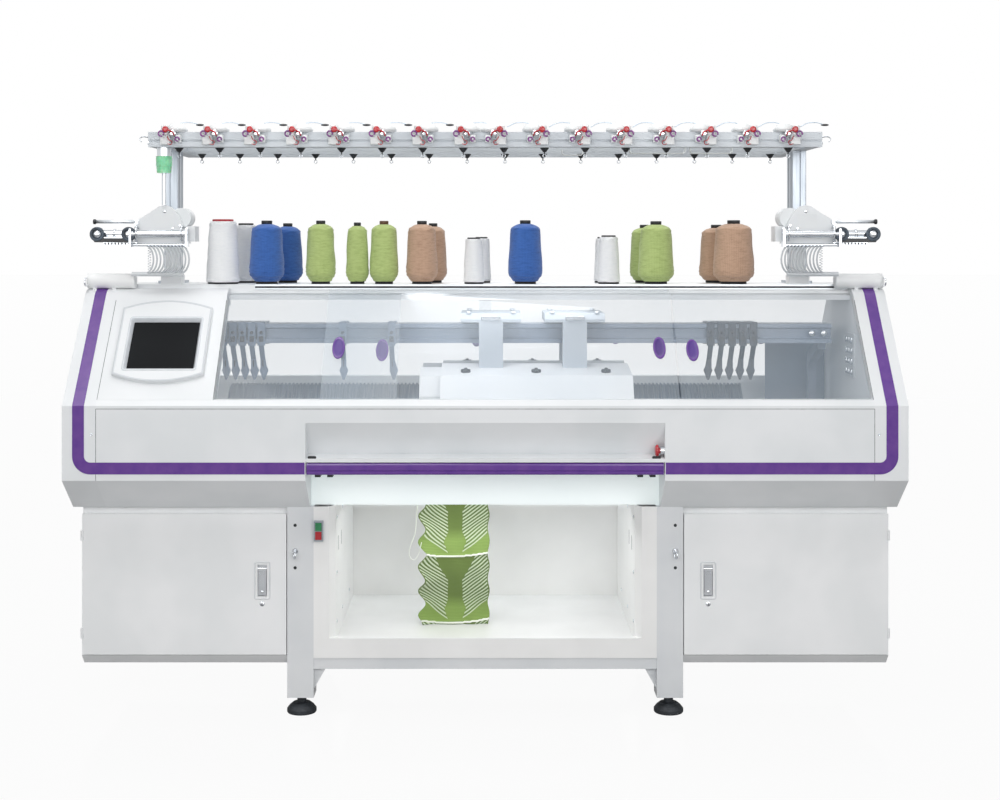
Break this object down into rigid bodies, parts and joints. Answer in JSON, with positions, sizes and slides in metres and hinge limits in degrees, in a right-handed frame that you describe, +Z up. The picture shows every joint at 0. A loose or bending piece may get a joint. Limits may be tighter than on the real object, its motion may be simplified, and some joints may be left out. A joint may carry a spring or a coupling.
{
  "type": "flat knitting machine",
  "caption": "Computer-controlled flat knitting machine with sliding clear covers, yarn stand, side feeders, cabinets and fabric bin.",
  "frame": {"origin": "on the floor under the middle of the machine's box", "axes": "+Z up, -Y towards the operator, +X to the operator's right"},
  "size_m": [2.5, 0.9, 1.807],
  "materials": {
    "white_enamel": "satin",
    "grey_enamel": "satin",
    "cap_moulding": "satin",
    "purple_plastic": "gloss",
    "clear_cover": "clear gloss",
    "black_plastic": "satin",
    "foot_rubber": "matte",
    "screen": "gloss",
    "steel": "brushed",
    "chrome": "polished",
    "aluminium": "anodised",
    "base_iron": "painted",
    "roller_rubber": "matte",
    "red_plastic": "gloss",
    "green_plastic": "gloss",
    "lamp_white": "gloss",
    "lamp_green": "clear gloss",
    "yarn_white": "wound yarn",
    "yarn_blue": "wound yarn",
    "yarn_green": "wound yarn",
    "yarn_tan": "wound yarn",
    "knit_green": "knitted"
  },
  "bodies": {
    "housing": {"stand": "grey_enamel", "feet": "foot_rubber", "fabric_bin": "white_enamel", "lamp_tube": "lamp_white", "cabinet_left": "white_enamel", "cabinet_right": "white_enamel", "end_cap_left": "cap_moulding", "end_cap_right": "cap_moulding", "fascia_left": "white_enamel", "fascia_centre": "white_enamel", "fascia_right": "white_enamel", "sill": "white_enamel", "yarn_table": "white_enamel", "control_housing": "cap_moulding", "display": "screen", "rear_panel": "white_enamel", "bar_brackets": "black_plastic", "switch_box": "steel", "thread_hooks": "chrome", "bed_base": "base_iron", "needle_bed_front": "steel", "needle_bed_rear": "steel", "feeder_rail": "steel", "posts": "aluminium", "rack_frame": "aluminium", "tensioners": "cap_moulding", "thread_guides": "black_plastic", "signal_lamp": "lamp_green", "side_unit_left": "cap_moulding", "side_unit_right": "cap_moulding", "side_comb_left": "cap_moulding", "side_comb_right": "cap_moulding", "cones_white": "yarn_white", "cones_blue": "yarn_blue", "cones_green": "yarn_green", "cones_tan": "yarn_tan", "fabric": "knit_green"},
    "door_left": {"door_left": "white_enamel"},
    "door_right": {"door_right": "white_enamel"},
    "latch_left": {"latch_left": "steel"},
    "latch_right": {"latch_right": "steel"},
    "cover_left": {"cover_left": "clear_cover"},
    "cover_centre": {"cover_centre": "clear_cover"},
    "cover_right": {"cover_right": "clear_cover"},
    "rear_cover_left": {"rear_cover_left": "clear_cover"},
    "rear_cover_right": {"rear_cover_right": "clear_cover"},
    "operating_bar": {"operating_bar": "purple_plastic"},
    "stop_button": {"stop_button": "red_plastic"},
    "start_key": {"start_key": "green_plastic"},
    "stop_key": {"stop_key": "red_plastic"},
    "roller_front": {"roller_front": "roller_rubber"},
    "roller_rear": {"roller_rear": "roller_rubber"},
    "feeders_left": {"feeders_left": "steel"},
    "feeder_mid_left": {"feeder_mid_left": "steel"},
    "feeder_mid_right": {"feeder_mid_right": "steel"},
    "feeders_right": {"feeders_right": "steel"},
    "carriage": {"carriage": "cap_moulding", "carriage_bridges": "grey_enamel"},
    "side_roller_left": {"side_roller_left": "chrome"},
    "side_roller_right": {"side_roller_right": "chrome"}
  },
  "joints": [
    {"name": "door_left_hinge", "type": "hinge", "parent": "housing", "child": "door_left", "pos_m": [-1.2245, -0.319, 0.4], "axis": [0, 0, -1], "range_deg": [0, 100]},
    {"name": "door_right_hinge", "type": "hinge", "parent": "housing", "child": "door_right", "pos_m": [1.2245, -0.319, 0.4], "axis": [0, 0, 1], "range_deg": [0, 100]},
    {"name": "latch_left_lift", "type": "hinge", "parent": "door_left", "child": "latch_left", "pos_m": [-0.677, -0.316, 0.445], "axis": [-1, 0, 0], "range_deg": [0, 60]},
    {"name": "latch_right_lift", "type": "hinge", "parent": "door_right", "child": "latch_right", "pos_m": [0.677, -0.316, 0.445], "axis": [-1, 0, 0], "range_deg": [0, 60]},
    {"name": "cover_left_slide", "type": "slide", "parent": "housing", "child": "cover_left", "axis": [1, 0, 0], "range_m": [0, 0.42]},
    {"name": "cover_centre_slide", "type": "slide", "parent": "housing", "child": "cover_centre", "axis": [1, 0, 0], "range_m": [-0.31, 0.56]},
    {"name": "cover_right_slide", "type": "slide", "parent": "housing", "child": "cover_right", "axis": [1, 0, 0], "range_m": [-0.42, 0]},
    {"name": "rear_cover_left_slide", "type": "slide", "parent": "housing", "child": "rear_cover_left", "axis": [1, 0, 0], "range_m": [0, 0.5]},
    {"name": "rear_cover_right_slide", "type": "slide", "parent": "housing", "child": "rear_cover_right", "axis": [1, 0, 0], "range_m": [-0.5, 0]},
    {"name": "operating_bar_swing", "type": "hinge", "parent": "housing", "child": "operating_bar", "pos_m": [0, -0.401, 0.766], "axis": [1, 0, 0], "range_deg": [0, 10]},
    {"name": "stop_button_press", "type": "slide", "parent": "housing", "child": "stop_button", "axis": [1, 0, 0], "range_m": [0, 0.004], "stiffness_N_per_m": 1500},
    {"name": "start_key_press", "type": "slide", "parent": "housing", "child": "start_key", "axis": [0, 1, 0], "range_m": [0, 0.003], "stiffness_N_per_m": 600},
    {"name": "stop_key_press", "type": "slide", "parent": "housing", "child": "stop_key", "axis": [0, 1, 0], "range_m": [0, 0.003], "stiffness_N_per_m": 600},
    {"name": "roller_front_turn", "type": "hinge", "parent": "housing", "child": "roller_front", "pos_m": [0, -0.086, 0.76], "axis": [1, 0, 0], "continuous": true},
    {"name": "roller_rear_turn", "type": "hinge", "parent": "housing", "child": "roller_rear", "pos_m": [0, -0.034, 0.76], "axis": [1, 0, 0], "continuous": true},
    {"name": "feeders_left_slide", "type": "slide", "parent": "housing", "child": "feeders_left", "axis": [1, 0, 0], "range_m": [-0.2, 0.1]},
    {"name": "feeder_mid_left_slide", "type": "slide", "parent": "housing", "child": "feeder_mid_left", "axis": [1, 0, 0], "range_m": [-0.1, 0.04]},
    {"name": "feeder_mid_right_slide", "type": "slide", "parent": "housing", "child": "feeder_mid_right", "axis": [1, 0, 0], "range_m": [-0.04, 0.7]},
    {"name": "feeders_right_slide", "type": "slide", "parent": "housing", "child": "feeders_right", "axis": [1, 0, 0], "range_m": [-0.2, 0.15]},
    {"name": "carriage_slide", "type": "slide", "parent": "housing", "child": "carriage", "axis": [1, 0, 0], "range_m": [-0.7, 0.58]},
    {"name": "side_roller_left_turn", "type": "hinge", "parent": "housing", "child": "side_roller_left", "pos_m": [-1.013, -0.215, 1.462], "axis": [1, 0, 0], "continuous": true},
    {"name": "side_roller_right_turn", "type": "hinge", "parent": "housing", "child": "side_roller_right", "pos_m": [1.013, -0.215, 1.462], "axis": [1, 0, 0], "continuous": true}
  ],
  "couplings": [
    {"joint": "roller_rear_turn", "follows": "roller_front_turn", "ratio": -1}
  ]
}
